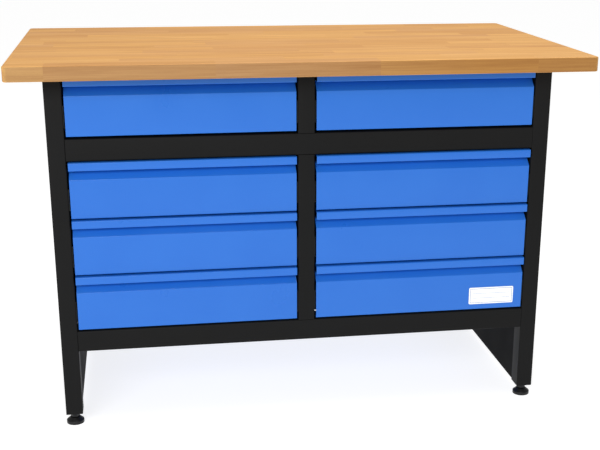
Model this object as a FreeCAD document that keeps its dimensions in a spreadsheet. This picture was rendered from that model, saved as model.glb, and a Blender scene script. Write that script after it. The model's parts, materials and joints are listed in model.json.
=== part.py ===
import FreeCAD, Part
import os
import Sketcher

# A sheet-steel workbench: a laminated beech top on a black frame, with two columns of
# four drawers, each drawer on a pair of full-extension slides, and four levelling feet.
# Millimetres. Origin on the floor under the middle of the worktop, +Z up, front towards -Y.

DRIVING_SIZES = {
    # worktop
    "top_length": 1200,
    "top_depth": 700,
    "top_thickness": 30,
    "bench_height": 796,
    "top_corner_radius": 10,
    "top_edge_radius": 2,
    # frame
    "side_overhang": 68,
    "front_overhang": 86,
    "rear_overhang": 86,
    "post_width": 36,
    "post_depth": 41,
    "centre_width": 36,
    "frame_wall": 1.5,
    "post_plate": 3,
    "rail_height": 46,
    "rail_depth": 56,
    "top_rail_depth": 60,
    "top_rail_drop": 20,
    "bend_radius": 2.5,
    "panel_wall": 1.2,
    "side_panel_flange": 15,
    "side_panel_inset": 3,
    # drawers
    "drawer_front_height": 119.2,
    "drawer_gap": 3.6,
    "drawer_side_gap": 3.5,
    "gap_over_bottom_rail": 3.8,
    "gap_under_mid_rail": 2.4,
    "gap_over_mid_rail": 5,
    "gap_under_top": 5.5,
    "front_sheet": 1,
    "front_bend_radius": 2,
    "lip_height": 17.2,
    "lip_reach": 5,
    "lip_return": 20,
    "grip_height": 19.5,
    "grip_depth": 22,
    "front_foot_flange": 14,
    "box_sheet": 0.8,
    "box_gap_under_grip": 3.5,
    "box_rear_gap": 27,
    "box_rim": 8,
    "box_bend_radius": 1.6,
    # slides
    "slide_width": 12.7,
    "slide_height": 45,
    "slide_sheet": 1.2,
    "slide_front_gap": 2,
    "slide_rear_gap": 25,
    "slide_ball_space": 3.8,
    "outer_to_box_gap": 2.7,
    "middle_to_box_gap": 1.5,
    "outer_to_middle_gap": 1.8,
    "middle_to_inner_gap": 1.3,
    # levelling feet
    "foot_clearance": 26.5,
    "pad_diameter": 38,
    "pad_rim": 7,
    "pad_height": 14,
    "pad_top_diameter": 22,
    "socket_floor": 4,
    "stem_diameter": 10,
    "stem_fit": 0.05,
    "stem_end_gap": 0.1,
    "stem_spare": 20.5,
    "hex_corners": 19.6,
    "hex_gap": 0.2,
    "hex_to_pad_gap": 0.8,
    "nut_height": 8,
    "plate_hole_gap": 0.5,
    # screws and label
    "wood_screw_diameter": 5,
    "wood_screw_depth": 18,
    "panel_screw_diameter": 4.2,
    "panel_screw_depth": 9,
    "screw_head_diameter": 10,
    "screw_head_height": 2.4,
    "label_width": 103,
    "label_height": 39,
    "label_sheet": 0.6,
    "label_end_inset": 19.5,
    "label_rise": 12.4,
    "label_corner_radius": 3,
}

LOWER_DRAWERS = 3
PANEL_SCREW_ROWS = 4
SIDES = {"left": -1, "right": 1}
ENDS = {"front": -1, "rear": 1}

X_AXIS = FreeCAD.Vector(1, 0, 0)
Y_AXIS = FreeCAD.Vector(0, 1, 0)
Z_AXIS = FreeCAD.Vector(0, 0, 1)

doc = FreeCAD.newDocument("workbench")
sheet = doc.addObject("Spreadsheet::Sheet", "Sizes")
for row, (alias, number) in enumerate(DRIVING_SIZES.items(), start=1):
    sheet.set("A%d" % row, alias.replace("_", " "))
    sheet.set("B%d" % row, str(number))
    sheet.setAlias("B%d" % row, alias)
doc.recompute()


# ---------------------------------------------------------------- sizes and drawing helpers
class Size:
    """A length that carries both its number and the sheet expression behind it."""

    def __init__(self, number, text):
        self.number = number
        self.text = text

    def __add__(self, other):
        return joined(self, "+", other, self.number + as_size(other).number)

    def __sub__(self, other):
        return joined(self, "-", other, self.number - as_size(other).number)

    def __mul__(self, other):
        return joined(self, "*", other, self.number * as_size(other).number)

    def __truediv__(self, other):
        return joined(self, "/", other, self.number / as_size(other).number)

    def __neg__(self):
        return self * -1

    __radd__ = __add__
    __rmul__ = __mul__


def as_size(value):
    return value if isinstance(value, Size) else Size(float(value), repr(value))


def joined(left, sign, right, number):
    return Size(number, "(%s %s %s)" % (left.text, sign, as_size(right).text))


def size(alias):
    return Size(float(sheet.get(alias)), "Sizes." + alias)


def bind(item, prop, value):
    """Drive one property of an object from the sheet."""
    item.setExpression(prop, as_size(value).text)


def place(item, x, y, z):
    bind(item, "Placement.Base.x", x)
    bind(item, "Placement.Base.y", y)
    bind(item, "Placement.Base.z", z)


def new_body(label):
    body = doc.addObject("PartDesign::Body", label)
    body.Label = label
    body.AllowCompound = True
    return body


def new_sketch(body, plane, offset=0):
    """A sketch on one of the body's own origin planes, moved along that plane's normal."""
    sketch = body.newObject("Sketcher::SketchObject", body.Name + "_sketch")
    support = [item for item in body.Origin.OriginFeatures if item.Role == plane]
    sketch.AttachmentSupport = [(support[0], "")]
    sketch.MapMode = "FlatFace"
    bind(sketch, "AttachmentOffset.Base.z", offset)
    return sketch


def vector(u, v):
    return FreeCAD.Vector(as_size(u).number, as_size(v).number, 0)


def dimension(sketch, value, kind, *where):
    """Add one dimension to a sketch and drive it from the sheet."""
    row = sketch.addConstraint(Sketcher.Constraint(kind, *where, as_size(value).number))
    bind(sketch, "Constraints[%d]" % row, value)


def pin(sketch, geometry, point, u, v):
    dimension(sketch, u, "DistanceX", -1, 1, geometry, point)
    dimension(sketch, v, "DistanceY", -1, 1, geometry, point)


def closed_lines(sketch, points):
    """A closed chain of lines through the points; returns the number of its first line."""
    first = len(sketch.Geometry)
    count = len(points)
    sketch.addGeometry([Part.LineSegment(points[i], points[(i + 1) % count]) for i in range(count)])
    joins = [(first + i, 2, first + (i + 1) % count, 1) for i in range(count)]
    sketch.addConstraint([Sketcher.Constraint("Coincident", *join) for join in joins])
    return first


def polygon(sketch, corners):
    """A closed outline with every corner dimensioned from the sketch's origin."""
    first = closed_lines(sketch, [vector(u, v) for u, v in corners])
    for i, (u, v) in enumerate(corners):
        pin(sketch, first + i, 1, u, v)


def rectangle(sketch, left, bottom, width, height):
    right = left + width
    top = bottom + height
    polygon(sketch, [(left, bottom), (right, bottom), (right, top), (left, top)])


def circle(sketch, u, v, radius):
    ring = sketch.addGeometry(Part.Circle(vector(u, v), Z_AXIS, radius.number), False)
    pin(sketch, ring, 3, u, v)
    dimension(sketch, radius, "Radius", ring)


def folded_sheet(sketch, corners, thickness):
    """The edge view of a folded sheet: its outer corners, and the same bends one sheet's
    thickness to the right of the way they are walked."""
    outer = [vector(u, v) for u, v in corners]
    rights = []
    for start, end in zip(outer, outer[1:]):
        run = (end - start).normalize()
        rights.append(FreeCAD.Vector(run.y, -run.x, 0))
    inner = []
    for i, corner in enumerate(outer):
        before = rights[max(i - 1, 0)]
        after = rights[min(i, len(rights) - 1)]
        inner.append(corner + (before + after) * (thickness.number / (1 + before.dot(after))))
    first = closed_lines(sketch, outer + inner[::-1])
    last = len(outer) - 1
    for i, (u, v) in enumerate(corners):
        pin(sketch, first + i, 1, u, v)
    for i in range(len(outer)):
        twin = first + 2 * len(outer) - 1 - i
        for line in {max(i - 1, 0), min(i, last - 1)}:
            dimension(sketch, thickness, "Distance", twin, 1, first + line)
    sketch.addConstraint(Sketcher.Constraint("Perpendicular", first + last, first + last - 1))
    sketch.addConstraint(Sketcher.Constraint("Perpendicular", first + 2 * last + 1, first))
    return inner


def pad(body, sketch, length, backwards=False):
    feature = body.newObject("PartDesign::Pad", body.Name + "_pad")
    feature.Profile = sketch
    feature.Reversed = backwards
    bind(feature, "Length", length)
    body.Tip = feature
    doc.recompute()
    return feature


def pocket(body, sketch, depth, backwards=False):
    """Cut a sketch out of a body, and make sure that it really cut something."""
    before = body.Shape.Volume
    feature = body.newObject("PartDesign::Pocket", body.Name + "_pocket")
    feature.Profile = sketch
    feature.Reversed = backwards
    bind(feature, "Length", depth)
    body.Tip = feature
    doc.recompute()
    if body.Shape.Volume > before - 1:
        raise RuntimeError("a pocket in %s cut nothing" % body.Label)
    return feature


def edges_along(shape, axis, places=None):
    """Straight edges parallel to an axis: all of them, or those through the given places,
    which are points seen along that axis."""
    names = []
    for number, edge in enumerate(shape.Edges, start=1):
        ends = [vertex.Point for vertex in edge.Vertexes]
        if len(ends) < 2 or abs(abs((ends[1] - ends[0]).dot(axis)) - edge.Length) > 1e-6:
            continue
        flat = ends[0] - axis * ends[0].dot(axis)
        if places is None or min((flat - spot).Length for spot in places) < 1e-3:
            names.append("Edge%d" % number)
    return names


def round_edges(body, names, radius):
    base = body.Tip
    feature = body.newObject("PartDesign::Fillet", body.Name + "_fillet")
    feature.Base = (base, names)
    bind(feature, "Radius", radius)
    body.Tip = feature
    doc.recompute()
    return feature


# ---------------------------------------------------------------- shared sizes and places
top_length = size("top_length")
top_depth = size("top_depth")
top_thickness = size("top_thickness")
wall = size("frame_wall")
bend = size("bend_radius")
post_width = size("post_width")
post_depth = size("post_depth")
centre_width = size("centre_width")
rail_height = size("rail_height")
rail_depth = size("rail_depth")
top_rail_depth = size("top_rail_depth")
panel_wall = size("panel_wall")
front_height = size("drawer_front_height")
front_sheet = size("front_sheet")
foot_clearance = size("foot_clearance")
pad_height = size("pad_height")
stem_radius = size("stem_diameter") / 2
slide_width = size("slide_width")
slide_sheet = size("slide_sheet")

# Levels, counted down from the worktop: the drawers hang under it, and the leg space takes
# what is left.
underside = size("bench_height") - top_thickness
top_drawer_base = underside - size("gap_under_top") - front_height
mid_rail_base = top_drawer_base - size("gap_over_mid_rail") - rail_height
drawer_pitch = front_height + size("drawer_gap")
second_drawer_base = mid_rail_base - size("gap_under_mid_rail") - front_height
lowest_drawer_base = second_drawer_base - (LOWER_DRAWERS - 1) * drawer_pitch
bottom_rail_base = lowest_drawer_base - size("gap_over_bottom_rail") - rail_height
drawer_bases = [top_drawer_base]
for step in range(LOWER_DRAWERS):
    drawer_bases.append(second_drawer_base - step * drawer_pitch)

# Places across and along the bench.
frame_half = top_length / 2 - size("side_overhang")
opening_end = frame_half - post_width
opening_width = opening_end - centre_width / 2
column_centre = (opening_end + centre_width / 2) / 2
frame_front = size("front_overhang") - top_depth / 2
frame_depth = top_depth - size("front_overhang") - size("rear_overhang")
frame_rear = frame_front + frame_depth
front_width = opening_width - 2 * size("drawer_side_gap")
foot_x = frame_half - post_width / 2
foot_inset = post_depth / 2

# The drawer front's levels above its own base, and the tray that fits behind it.
grip_base = front_height - size("lip_height") - size("grip_height")
lip_base = front_height - size("lip_height")
box_width = opening_width - 2 * slide_width
box_depth = frame_depth - front_sheet - size("box_rear_gap")
box_height = grip_base - front_sheet - size("box_gap_under_grip")

# The slides' channels nest inside one another: each is lower than the one around it by two
# sheets and two ball spaces. Reaches are measured from the upright towards the tray.
slide_start = front_sheet + size("slide_front_gap")
slide_length = frame_depth - slide_start - size("slide_rear_gap")
slide_nesting = 2 * (slide_sheet + size("slide_ball_space"))
outer_height = size("slide_height")
middle_height = outer_height - slide_nesting
inner_height = middle_height - slide_nesting
outer_end = slide_width - size("outer_to_box_gap")
middle_start = slide_sheet + size("outer_to_middle_gap")
middle_end = slide_width - size("middle_to_box_gap")
inner_start = middle_start + slide_sheet + size("middle_to_inner_gap")

# Screw places: one in each end panel's flange, then four along each top rail, at a quarter
# and three quarters of each drawer column.
end_flange_x = opening_end + size("side_panel_inset") + size("side_panel_flange") / 2
worktop_screws = [(end_flange_x, as_size(0)), (-end_flange_x, as_size(0))]
for share in (-0.25, 0.25):
    for sign in SIDES.values():
        across = sign * column_centre + share * opening_width
        worktop_screws.append((across, frame_front + top_rail_depth / 2))
        worktop_screws.append((across, frame_rear - top_rail_depth / 2))

# The back panel is screwed to the three rear uprights.
screw_margin = rail_height / 2
panel_height = underside - bottom_rail_base
screw_pitch = (panel_height - 2 * screw_margin) / (PANEL_SCREW_ROWS - 1)
lowest_panel_screw = bottom_rail_base + screw_margin
panel_screw_levels = [lowest_panel_screw + row * screw_pitch for row in range(PANEL_SCREW_ROWS)]
panel_screw_lines = [-foot_x, as_size(0), foot_x]

parts = []


# ---------------------------------------------------------------- worktop
def build_worktop():
    """A solid board with rounded corners, eased edges and blind pilot holes underneath."""
    body = new_body("worktop")
    place(body, 0, 0, underside)
    board = new_sketch(body, "XY_Plane")
    rectangle(board, -top_length / 2, -top_depth / 2, top_length, top_depth)
    pad(body, board, top_thickness)
    round_edges(body, edges_along(body.Tip.Shape, Z_AXIS), size("top_corner_radius"))
    rims = []
    for number, edge in enumerate(body.Tip.Shape.Edges, start=1):
        if edge.BoundBox.ZLength < 1e-6:
            rims.append("Edge%d" % number)
    round_edges(body, rims, size("top_edge_radius"))
    pilots = new_sketch(body, "XY_Plane")
    for across, along in worktop_screws:
        circle(pilots, across, along, size("wood_screw_diameter") / 2)
    pocket(body, pilots, size("wood_screw_depth"), backwards=True)
    parts.append(body)


# ---------------------------------------------------------------- uprights
def build_tube(label, width, depth, height, floor):
    """An upright rectangular tube with rounded folds, closed at the foot by floor's height."""
    body = new_body(label)
    outside = new_sketch(body, "XY_Plane")
    rectangle(outside, as_size(0), as_size(0), width, depth)
    pad(body, outside, height)
    round_edges(body, edges_along(body.Tip.Shape, Z_AXIS), bend)
    bore = new_sketch(body, "XY_Plane", height)
    rectangle(bore, wall, wall, width - 2 * wall, depth - 2 * wall)
    pocket(body, bore, height - floor)
    parts.append(body)
    return body


def drill_for_back_panel(body, across, depth, base):
    """A column of screw holes through the rear wall of an upright."""
    holes = new_sketch(body, "XZ_Plane", -depth)
    for level in panel_screw_levels:
        circle(holes, across, level - base, size("panel_screw_diameter") / 2)
    pocket(body, holes, 2 * wall, backwards=True)


def build_corner_posts():
    for end in ENDS:
        for side in SIDES:
            height = underside - foot_clearance
            body = build_tube("%s_%s_post" % (end, side), post_width, post_depth, height, size("post_plate"))
            hole = new_sketch(body, "XY_Plane")
            circle(hole, post_width / 2, foot_inset, stem_radius + size("plate_hole_gap"))
            pocket(body, hole, size("post_plate"), backwards=True)
            if end == "rear":
                drill_for_back_panel(body, post_width / 2, post_depth, foot_clearance)
            x = opening_end if SIDES[side] > 0 else -frame_half
            y = frame_front if end == "front" else frame_rear - post_depth
            place(body, x, y, foot_clearance)


def build_centre_posts():
    """The upright between the columns: two lengths in front, one behind."""
    left = -centre_width / 2
    upper_base = mid_rail_base + rail_height
    upper = build_tube("upper_centre_post", centre_width, rail_depth, underside - wall - upper_base, 0)
    place(upper, left, frame_front, upper_base)
    lower_base = bottom_rail_base + rail_height
    lower = build_tube("lower_centre_post", centre_width, rail_depth, mid_rail_base - lower_base, 0)
    place(lower, left, frame_front, lower_base)
    rear_height = underside - wall - bottom_rail_base
    rear = build_tube("rear_centre_post", centre_width, post_depth - wall, rear_height, 0)
    drill_for_back_panel(rear, centre_width / 2, post_depth - wall, bottom_rail_base)
    place(rear, left, frame_rear - post_depth, bottom_rail_base)


# ---------------------------------------------------------------- rails
def build_front_rail(label, base):
    """A folded channel, open to the back, that runs between the front posts."""
    body = new_body(label)
    place(body, -opening_end, frame_front, base)
    profile = new_sketch(body, "YZ_Plane")
    corners = [(rail_depth, 0), (0, 0), (0, rail_height), (rail_depth, rail_height)]
    inner = folded_sheet(profile, corners, wall)
    pad(body, profile, 2 * opening_end)
    outside = [across_x(vector(u, v)) for u, v in corners[1:3]]
    round_edges(body, edges_along(body.Tip.Shape, X_AXIS, outside), bend)
    inside = [across_x(point) for point in inner[1:3]]
    round_edges(body, edges_along(body.Tip.Shape, X_AXIS, inside), bend - wall)
    parts.append(body)


def across_x(point):
    """A point of a YZ sketch as a place seen along X."""
    return FreeCAD.Vector(0, point.x, point.y)


def build_top_rail(label, web_at_rear, y):
    """An angle under the worktop, with screw holes in its flat flange."""
    drop = size("top_rail_drop")
    body = new_body(label)
    place(body, -opening_end, y, underside - drop)
    profile = new_sketch(body, "YZ_Plane")
    folded_sheet(profile, [(0, drop), (top_rail_depth, drop), (top_rail_depth, 0)], wall)
    pad(body, profile, 2 * opening_end)
    holes = new_sketch(body, "XY_Plane", drop)
    for across, along in worktop_screws[2:]:
        if (along.number > 0) == web_at_rear:
            circle(holes, across + opening_end, along - y, size("wood_screw_diameter") / 2)
    pocket(body, holes, 2 * wall)
    parts.append(body)


# ---------------------------------------------------------------- sheet panels
def build_side_panel(side):
    """A shallow pan between the front and rear posts, its flanges turned outwards."""
    flange = size("side_panel_flange")
    length = frame_depth - 2 * post_depth
    height = underside - foot_clearance
    sign = SIDES[side]
    body = new_body("%s_side_panel" % side)
    x = opening_end + size("side_panel_inset")
    place(body, sign * x, frame_front + post_depth, foot_clearance)
    block = new_sketch(body, "XY_Plane")
    rectangle(block, as_size(0) if sign > 0 else -flange, as_size(0), flange, length)
    pad(body, block, height)
    hollow = new_sketch(body, "YZ_Plane", sign * flange)
    rectangle(hollow, panel_wall, panel_wall, length - 2 * panel_wall, height - 2 * panel_wall)
    pocket(body, hollow, flange - panel_wall, backwards=sign < 0)
    hole = new_sketch(body, "XY_Plane", height)
    circle(hole, sign * flange / 2, length / 2, size("wood_screw_diameter") / 2)
    pocket(body, hole, 2 * panel_wall)
    parts.append(body)


def build_back_panel():
    """A flat sheet over the rear uprights, from the bottom rail's level to the worktop."""
    body = new_body("back_panel")
    place(body, -frame_half, frame_rear, bottom_rail_base)
    face = new_sketch(body, "XZ_Plane")
    rectangle(face, as_size(0), as_size(0), 2 * frame_half, panel_height)
    for across in panel_screw_lines:
        for level in panel_screw_levels:
            radius = size("panel_screw_diameter") / 2
            circle(face, across + frame_half, level - bottom_rail_base, radius)
    pad(body, face, panel_wall, backwards=True)
    parts.append(body)


# ---------------------------------------------------------------- fixings
def build_worktop_screws():
    """Pan heads under the flanges, shanks up into the worktop."""
    body = new_body("worktop_screws")
    head = size("screw_head_height")
    place(body, 0, 0, underside)
    for row, (across, along) in enumerate(worktop_screws):
        sheet_under = panel_wall if row < 2 else wall
        heads = new_sketch(body, "XY_Plane", -sheet_under - head)
        circle(heads, across, along, size("screw_head_diameter") / 2)
        pad(body, heads, head)
        shanks = new_sketch(body, "XY_Plane", -sheet_under)
        circle(shanks, across, along, size("wood_screw_diameter") / 2)
        pad(body, shanks, sheet_under + size("wood_screw_depth"))
    parts.append(body)


def build_back_panel_screws():
    body = new_body("back_panel_screws")
    place(body, 0, frame_rear + panel_wall, 0)
    heads = new_sketch(body, "XZ_Plane")
    shanks = new_sketch(body, "XZ_Plane")
    for across in panel_screw_lines:
        for level in panel_screw_levels:
            circle(heads, across, level, size("screw_head_diameter") / 2)
            circle(shanks, across, level, size("panel_screw_diameter") / 2)
    pad(body, heads, size("screw_head_height"), backwards=True)
    pad(body, shanks, size("panel_screw_depth"))
    parts.append(body)


# ---------------------------------------------------------------- slides
def add_members(body, start, end, height, open_to_wall):
    """A pair of channels for one drawer, mirrored about the middle of its opening.
    start and end are reaches from the wall; the web is at the end that isn't open."""
    half = opening_width / 2
    web = end if open_to_wall else start
    rim = start if open_to_wall else end
    profile = new_sketch(body, "XZ_Plane")
    low = -height / 2
    high = height / 2
    corners = [(half - rim, low), (half - web, low), (half - web, high), (half - rim, high)]
    if not open_to_wall:
        corners = corners[::-1]
    folded_sheet(profile, corners, slide_sheet)
    channel = pad(body, profile, slide_length, backwards=True)
    mirrored = body.newObject("PartDesign::Mirrored", body.Name + "_pair")
    planes = [item for item in body.Origin.OriginFeatures if item.Role == "YZ_Plane"]
    mirrored.Originals = [channel]
    mirrored.MirrorPlane = (planes[0], [""])
    body.Tip = mirrored
    doc.recompute()


def place_slide(body, centre_x, base):
    level = base + front_sheet + box_height / 2
    place(body, centre_x, frame_front + slide_start, level)


def build_outer_slides():
    """The members that stay on the uprights: a pair for every drawer, in one group."""
    pairs = []
    for side, sign in SIDES.items():
        for base in drawer_bases:
            pair = new_body("outer_pair")
            add_members(pair, as_size(0), outer_end, outer_height, False)
            place_slide(pair, sign * column_centre, base)
            pairs.append(pair)
    group = doc.addObject("Part::Compound", "outer_slides")
    group.Label = "outer_slides"
    group.Links = pairs
    doc.recompute()
    parts.append(group)


# ---------------------------------------------------------------- drawers
def build_drawer_front(label, left, base):
    """One folded sheet: foot flange, main face, sloping grip face, lip and top flange."""
    reach = size("lip_reach")
    corners = [
        (size("front_foot_flange"), 0),
        (0, 0),
        (0, grip_base),
        (size("grip_depth"), lip_base),
        (-reach, lip_base),
        (-reach, front_height),
        (size("lip_return"), front_height),
    ]
    body = new_body(label)
    place(body, left, frame_front, base)
    profile = new_sketch(body, "YZ_Plane")
    inner = folded_sheet(profile, corners, front_sheet)
    pad(body, profile, front_width)
    outer = [vector(u, v) for u, v in corners]
    wide = [outer[1], outer[2], inner[3], outer[4], outer[5]]
    tight = [inner[1], inner[2], outer[3], inner[4], inner[5]]
    radius = size("front_bend_radius")
    for bends, bend_size in ((wide, radius), (tight, radius - front_sheet)):
        places = [across_x(point) for point in bends]
        round_edges(body, edges_along(body.Tip.Shape, X_AXIS, places), bend_size)
    parts.append(body)


def build_drawer_box(label, centre_x, base):
    """An open tray of thin sheet with its rim folded inwards."""
    skin = size("box_sheet")
    inset = skin + size("box_rim")
    body = new_body(label)
    place(body, centre_x - box_width / 2, frame_front + front_sheet, base + front_sheet)
    block = new_sketch(body, "XY_Plane")
    rectangle(block, as_size(0), as_size(0), box_width, box_depth)
    pad(body, block, box_height)
    folds = edges_along(body.Tip.Shape, Z_AXIS)
    for number, edge in enumerate(body.Tip.Shape.Edges, start=1):
        if edge.BoundBox.ZMax < 1e-6:
            folds.append("Edge%d" % number)
    round_edges(body, folds, size("box_bend_radius"))
    mouth = new_sketch(body, "XY_Plane", box_height)
    rectangle(mouth, inset, inset, box_width - 2 * inset, box_depth - 2 * inset)
    pocket(body, mouth, box_height - skin)
    inside = new_sketch(body, "XY_Plane", box_height - skin)
    rectangle(inside, skin, skin, box_width - 2 * skin, box_depth - 2 * skin)
    pocket(body, inside, box_height - 2 * skin)
    parts.append(body)


def build_drawers():
    for side, sign in SIDES.items():
        centre_x = sign * column_centre
        for number, base in enumerate(drawer_bases, start=1):
            name = "%s_drawer_%d" % (side, number)
            build_drawer_front(name + "_front", centre_x - front_width / 2, base)
            build_drawer_box(name + "_box", centre_x, base)
            inner = new_body(name + "_inner_slides")
            add_members(inner, inner_start, slide_width, inner_height, True)
            middle = new_body(name + "_middle_slides")
            add_members(middle, middle_start, middle_end, middle_height, False)
            for pair in (inner, middle):
                place_slide(pair, centre_x, base)
                parts.append(pair)


def build_label():
    """A blank plate near the outer end of the lowest right-hand drawer."""
    body = new_body("label_plate")
    right = column_centre + front_width / 2 - size("label_end_inset")
    place(body, right - size("label_width"), frame_front, lowest_drawer_base + size("label_rise"))
    face = new_sketch(body, "XZ_Plane")
    rectangle(face, as_size(0), as_size(0), size("label_width"), size("label_height"))
    pad(body, face, size("label_sheet"))
    round_edges(body, edges_along(body.Tip.Shape, Y_AXIS), size("label_corner_radius"))
    parts.append(body)


# ---------------------------------------------------------------- levelling feet
def primitive(kind, name, **sizes):
    item = doc.addObject(kind, name)
    for prop, value in sizes.items():
        bind(item, prop, value)
    return item


def combination(kind, label, **inputs):
    item = doc.addObject(kind, label)
    item.Label = label
    for prop, value in inputs.items():
        setattr(item, prop, value)
    return item


def build_foot_pad(label):
    """A round pad: rim, cone and a blind socket that the stem turns in."""
    bore = stem_radius + size("stem_fit")
    corners = [
        (0, 0),
        (size("pad_diameter") / 2, 0),
        (size("pad_diameter") / 2, size("pad_rim")),
        (size("pad_top_diameter") / 2, pad_height),
        (bore, pad_height),
        (bore, size("socket_floor")),
        (0, size("socket_floor")),
    ]
    body = new_body(label)
    profile = new_sketch(body, "XZ_Plane")
    polygon(profile, corners)
    turned = body.newObject("PartDesign::Revolution", label + "_turned")
    turned.Profile = profile
    turned.ReferenceAxis = (profile, ["V_Axis"])
    turned.Angle = 360
    body.Tip = turned
    doc.recompute()
    parts.append(body)
    return body


def build_foot_stem(label):
    """A threaded stem drawn as a plain rod, with a hexagon to turn it by."""
    start = size("socket_floor") + size("stem_end_gap")
    top = foot_clearance + size("post_plate") + size("nut_height") + size("stem_spare")
    rod = primitive("Part::Cylinder", label + "_rod", Radius=stem_radius, Height=top - start)
    place(rod, 0, 0, start)
    hex_base = pad_height + size("hex_to_pad_gap")
    hex_height = foot_clearance - size("hex_gap") - hex_base
    nut = primitive("Part::Prism", label + "_hexagon", Height=hex_height)
    nut.Polygon = 6
    bind(nut, "Circumradius", size("hex_corners") / 2)
    place(nut, 0, 0, hex_base)
    stem = combination("Part::MultiFuse", label, Shapes=[rod, nut])
    parts.append(stem)
    return stem


def build_feet():
    nuts = []
    for end, y_sign in ENDS.items():
        for side, x_sign in SIDES.items():
            x = x_sign * foot_x
            y = frame_front + foot_inset if end == "front" else frame_rear - foot_inset
            name = "%s_%s_foot" % (end, side)
            place(build_foot_pad(name + "_pad"), x, y, 0)
            place(build_foot_stem(name + "_stem"), x, y, 0)
            outside = primitive("Part::Prism", name + "_nut_outside", Height=size("nut_height"))
            outside.Polygon = 6
            bind(outside, "Circumradius", size("hex_corners") / 2)
            bore = primitive("Part::Cylinder", name + "_nut_bore", Height=size("nut_height"))
            bind(bore, "Radius", stem_radius + size("stem_fit"))
            nut = combination("Part::Cut", name + "_nut", Base=outside, Tool=bore)
            place(nut, x, y, foot_clearance + size("post_plate"))
            nuts.append(nut)
    parts.append(combination("Part::Compound", "foot_nuts", Links=nuts))


build_worktop()
build_corner_posts()
build_centre_posts()
build_front_rail("mid_rail", mid_rail_base)
build_front_rail("bottom_rail", bottom_rail_base)
build_top_rail("front_top_rail", False, frame_front)
build_top_rail("rear_top_rail", True, frame_rear - top_rail_depth)
for side in SIDES:
    build_side_panel(side)
build_back_panel()
build_worktop_screws()
build_back_panel_screws()
build_outer_slides()
build_drawers()
build_label()
build_feet()
doc.recompute()

# ---------------------------------------------------------------- checks and export
for item in doc.Objects:
    if "Invalid" in item.State or "Error" in item.State:
        raise RuntimeError("%s did not build" % item.Label)
for item in parts:
    if item.Shape.isNull() or not item.Shape.isValid():
        raise RuntimeError("%s has no sound shape" % item.Label)

os.makedirs("parts", exist_ok=True)
for item in parts:
    item.Shape.exportStep("parts/%s.step" % item.Label)
print("wrote", len(parts), "parts")
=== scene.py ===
# %% [markdown]
# # A sheet-steel workbench with eight drawers
# The imported model is the fixed frame: it holds every piece's place and size, and the bodies
# that move. This lesson gives each piece the shape and finish that a person sees. It starts
# by loading that frame.

# %% Load the frame
import json
import math

import bmesh
import bpy
from mathutils import Matrix, Vector


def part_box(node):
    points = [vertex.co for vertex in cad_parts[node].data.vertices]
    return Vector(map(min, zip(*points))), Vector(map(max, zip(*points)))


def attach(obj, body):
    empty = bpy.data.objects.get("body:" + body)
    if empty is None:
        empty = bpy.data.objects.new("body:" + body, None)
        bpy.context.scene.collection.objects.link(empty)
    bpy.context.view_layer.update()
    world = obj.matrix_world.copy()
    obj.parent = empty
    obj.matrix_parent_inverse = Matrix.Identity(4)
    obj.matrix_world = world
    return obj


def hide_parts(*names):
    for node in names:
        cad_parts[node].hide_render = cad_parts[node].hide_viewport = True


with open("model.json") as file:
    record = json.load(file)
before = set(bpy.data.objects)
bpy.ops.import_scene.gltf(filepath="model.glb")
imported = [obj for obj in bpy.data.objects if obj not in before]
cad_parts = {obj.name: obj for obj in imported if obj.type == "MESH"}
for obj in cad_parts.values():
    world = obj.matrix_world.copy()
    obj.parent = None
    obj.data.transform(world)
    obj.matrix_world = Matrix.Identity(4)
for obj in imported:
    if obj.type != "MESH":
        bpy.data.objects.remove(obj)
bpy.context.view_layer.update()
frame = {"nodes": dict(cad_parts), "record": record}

MM = 0.001
nodes = frame["nodes"]
bodies = frame["record"]["behaviour"]["bodies"]
body_of = {node: body for body, members in bodies.items() for node in members}
slot_of = {part["node"]: part["material_slot"] for part in frame["record"]["subparts"]}
print("nodes:", len(nodes), "bodies:", len(bodies))

# %% [markdown]
# ## Camera
# The bench is seen a little from the left and from above its worktop, through a long lens,
# so that its uprights stay nearly parallel. The lens is shifted to fill the picture. Three
# plain angles turn the camera: towards +X, down, and a very small roll.

# %% Camera
CAMERA_PLACE = Vector((-0.3484, -2.5783, 1.0948))
CAMERA_YAW = math.radians(9.67)
CAMERA_PITCH = math.radians(18.23)
CAMERA_ROLL = math.radians(0.35)

camera_data = bpy.data.cameras.new("camera")
camera_data.sensor_width = 36
camera_data.lens = 67.72
camera_data.shift_x = -0.0455
camera_data.shift_y = 0.0830
camera_data.clip_end = 100
camera = bpy.data.objects.new("camera", camera_data)
bpy.context.scene.collection.objects.link(camera)
aim = Matrix.Rotation(-CAMERA_YAW, 4, "Z") @ Matrix.Rotation(math.pi / 2 - CAMERA_PITCH, 4, "X")
camera.matrix_world = Matrix.Translation(CAMERA_PLACE) @ aim @ Matrix.Rotation(CAMERA_ROLL, 4, "Z")
bpy.context.scene.camera = camera
bpy.context.scene.view_settings.view_transform = "Standard"
print("camera stands", round((CAMERA_PLACE - Vector((0, -0.264, 0.4))).length, 2), "m from the drawers")

# %% [markdown]
# ## Floor and light
# A plain pale floor meets an even white surround, as in a product studio. One broad panel
# hangs high, in front and to the left, so that the worktop's overhang throws a soft shade
# over the top drawers and the left end is a little brighter. A weaker one above lights the
# board. The floor is a lit table: it glows by itself, so the shade on it stays faint. The
# surround looks as white as the floor, so that no horizon shows in low views, but it lights
# the bench only weakly: a light path node picks between the two strengths.

# %% Floor and light
FLOOR_HALF = 30.0
FLOOR_GLOW = 0.8


def paint(hex_colour):
    """A colour from a paint chart, sRGB hex, as the linear numbers that shaders use."""
    channels = [int(hex_colour[i:i + 2], 16) / 255 for i in (1, 3, 5)]
    return [c / 12.92 if c <= 0.04045 else ((c + 0.055) / 1.055) ** 2.4 for c in channels] + [1.0]


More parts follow.
